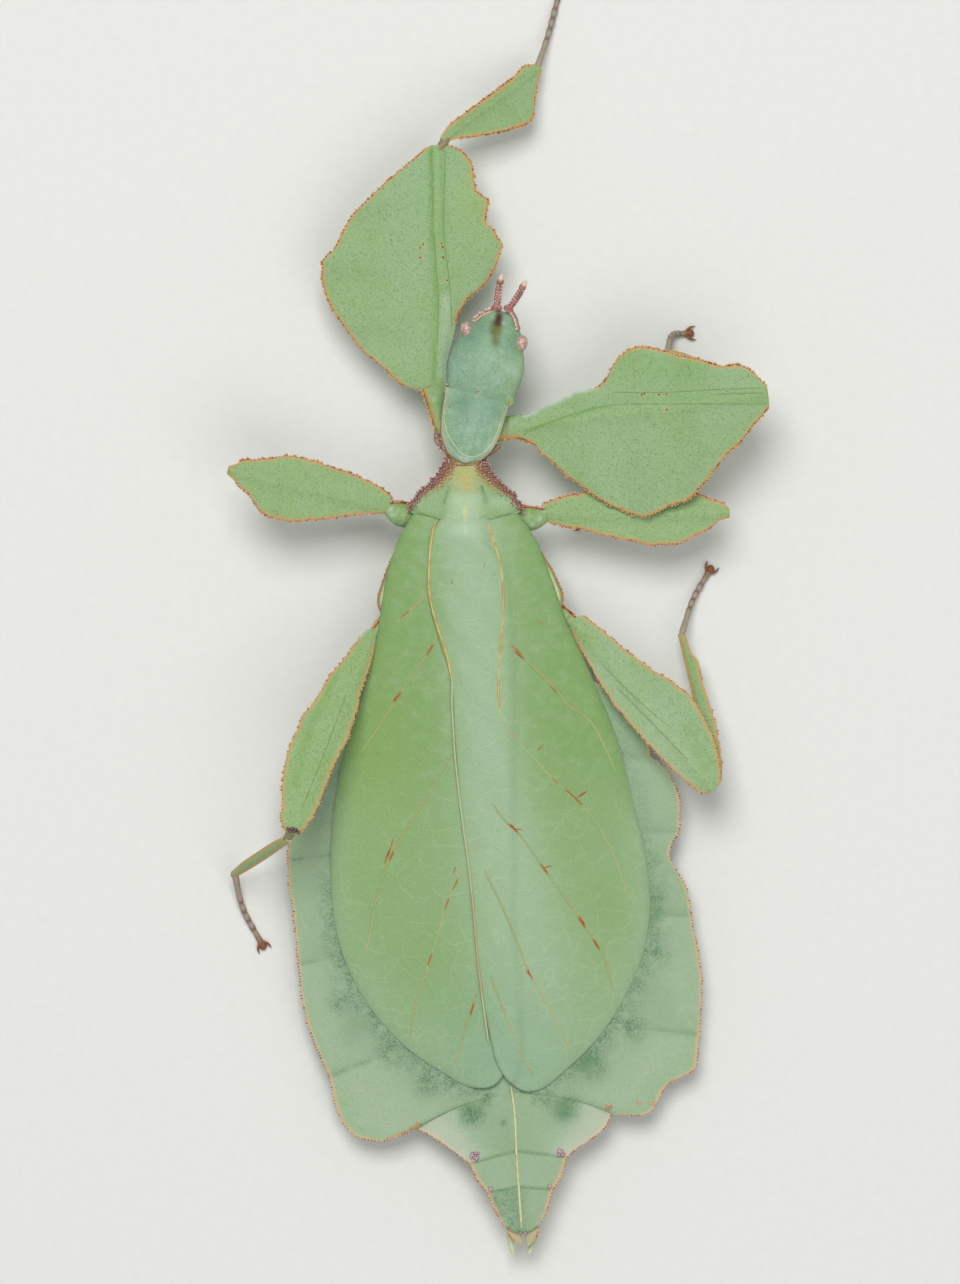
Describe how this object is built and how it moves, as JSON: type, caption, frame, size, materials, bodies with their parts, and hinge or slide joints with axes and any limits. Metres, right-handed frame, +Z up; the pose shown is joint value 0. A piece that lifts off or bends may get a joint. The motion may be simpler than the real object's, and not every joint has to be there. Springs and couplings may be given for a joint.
{
  "type": "leaf insect",
  "caption": "Broad leaf-mimicking insect with flat veined wings over a wide lobed belly, leaf-like toothed legs and a small rounded head, standing still on its feet.",
  "frame": {"origin": "on the floor, under the middle of the insect's bounding box", "axes": "+Y towards the head, +X to the insect's own right, +Z up from the floor"},
  "size_m": [0.0615, 0.1459, 0.0169],
  "materials": {
    "lobe_green": "matte waxy pale green with a bluish bloom",
    "wing_green": "matte leathery green with a fine net of veins",
    "body_green": "matte yellowish green, purple-brown along the spines",
    "head_green": "satin bluish green",
    "limb_green": "matte leaf green with fine dark dots and brown toothed rims",
    "foot_brown": "matte pinkish brown",
    "horn_brown": "matte pinkish brown",
    "eye_pink": "glossy pinkish beige with brown flecks"
  },
  "bodies": {
    "root": {"abdomen": "lobe_green", "tail": "lobe_green", "cercus_left": "lobe_green", "cercus_right": "lobe_green", "egg_valves": "lobe_green", "metathorax": "body_green", "mesothorax": "body_green", "prothorax": "head_green", "head": "head_green", "mouthparts": "body_green", "eye_left": "eye_pink", "eye_right": "eye_pink", "antenna_left": "horn_brown", "antenna_right": "horn_brown", "wing_left": "wing_green", "wing_right": "wing_green", "hip_fore_left": "limb_green", "thigh_fore_left": "limb_green", "shin_fore_left": "limb_green", "foot_fore_left": "foot_brown", "hip_fore_right": "limb_green", "thigh_fore_right": "limb_green", "shin_fore_right": "limb_green", "foot_fore_right": "foot_brown", "hip_mid_left": "limb_green", "thigh_mid_left": "limb_green", "shin_mid_left": "limb_green", "foot_mid_left": "foot_brown", "hip_mid_right": "limb_green", "thigh_mid_right": "limb_green", "shin_mid_right": "limb_green", "foot_mid_right": "foot_brown", "hip_hind_left": "limb_green", "thigh_hind_left": "limb_green", "shin_hind_left": "limb_green", "foot_hind_left": "foot_brown", "hip_hind_right": "limb_green", "thigh_hind_right": "limb_green", "shin_hind_right": "limb_green", "foot_hind_right": "foot_brown"}
  },
  "joints": []
}
